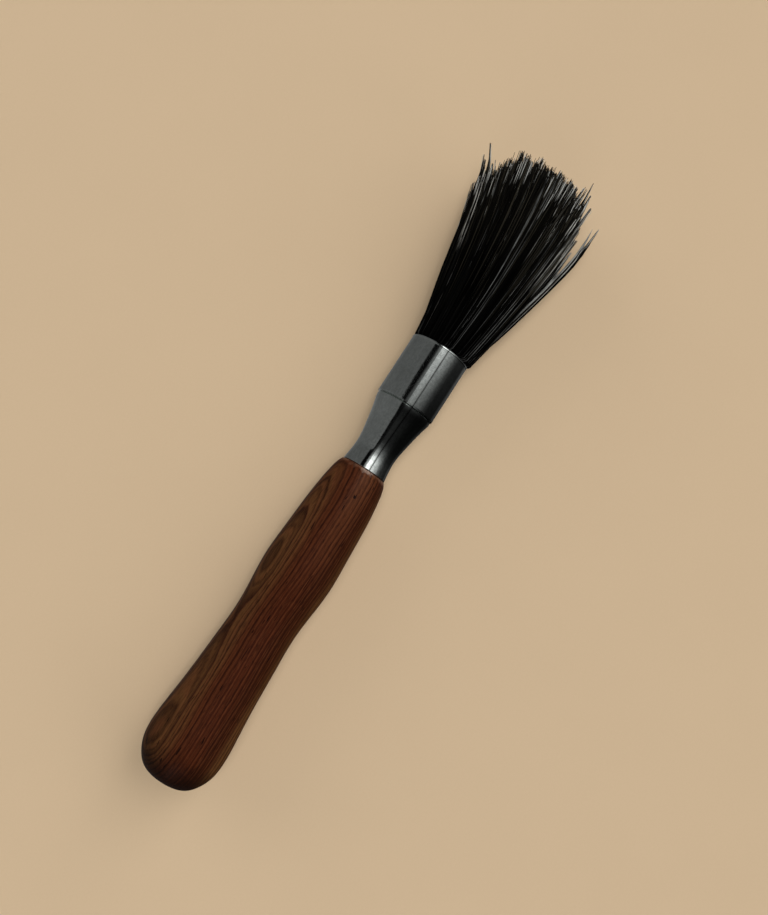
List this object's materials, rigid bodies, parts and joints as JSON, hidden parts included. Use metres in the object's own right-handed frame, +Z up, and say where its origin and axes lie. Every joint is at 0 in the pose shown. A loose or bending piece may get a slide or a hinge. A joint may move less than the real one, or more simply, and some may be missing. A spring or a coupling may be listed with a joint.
{
  "type": "bee brush",
  "caption": "Round bee brush: turned hardwood handle, two-stage steel ferrule with a seam, and a flared knot of stiff dark bristles.",
  "frame": {"origin": "on the surface that the brush lies on, under the middle of its length and width", "axes": "+X from the butt of the handle to the bristle tips, +Z up; the seam of the ferrule is near the top"},
  "size_m": [0.287, 0.0569, 0.0394],
  "materials": {
    "handle_wood": "satin varnish",
    "ferrule_steel": "polished, lightly brushed along the brush",
    "bristle": "stiff dark fibre with a low sheen and pale tips",
    "brad_steel": "plain steel",
    "core_wood": "tarred softwood",
    "resin": "dark brown setting pitch",
    "twine": "tarred twine"
  },
  "bodies": {
    "root": {"handle": "handle_wood", "neck_ferrule": "ferrule_steel", "collar": "ferrule_steel", "ferrule_brads": "brad_steel", "setting_resin": "resin", "core_plug": "core_wood", "root_binding": "twine", "bristle_knot": "bristle", "left_lock": "bristle", "right_lock": "bristle", "stray_lock": "bristle", "stub_lock": "bristle"}
  },
  "joints": []
}
